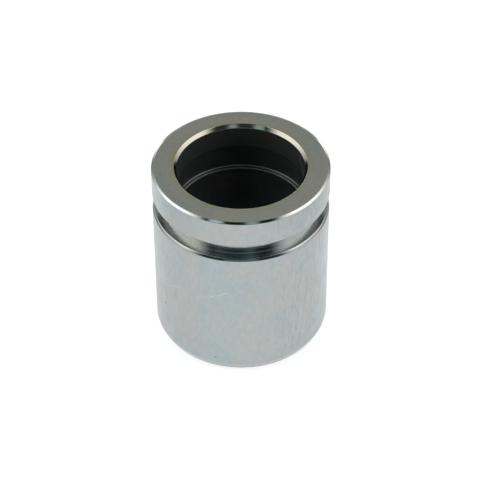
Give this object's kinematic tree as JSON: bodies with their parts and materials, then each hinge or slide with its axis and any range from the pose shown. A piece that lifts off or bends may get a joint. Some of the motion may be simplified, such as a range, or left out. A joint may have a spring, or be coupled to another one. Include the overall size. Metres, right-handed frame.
{
  "type": "brake caliper piston",
  "caption": "Turned steel cup, closed at the bottom, with a chamfered open mouth, a boot groove under its rim and a plain sliding skirt.",
  "frame": {"origin": "centre of the closed crown's outer face, on the piston's axis", "axes": "+Z along the axis from the closed crown to the open mouth; X and Y are free, because the piston is round"},
  "size_m": [0.054, 0.054, 0.06],
  "materials": {
    "zinc_plated_steel": "satin zinc plating over turned steel"
  },
  "bodies": {
    "root": {"piston": "zinc_plated_steel"}
  },
  "joints": []
}
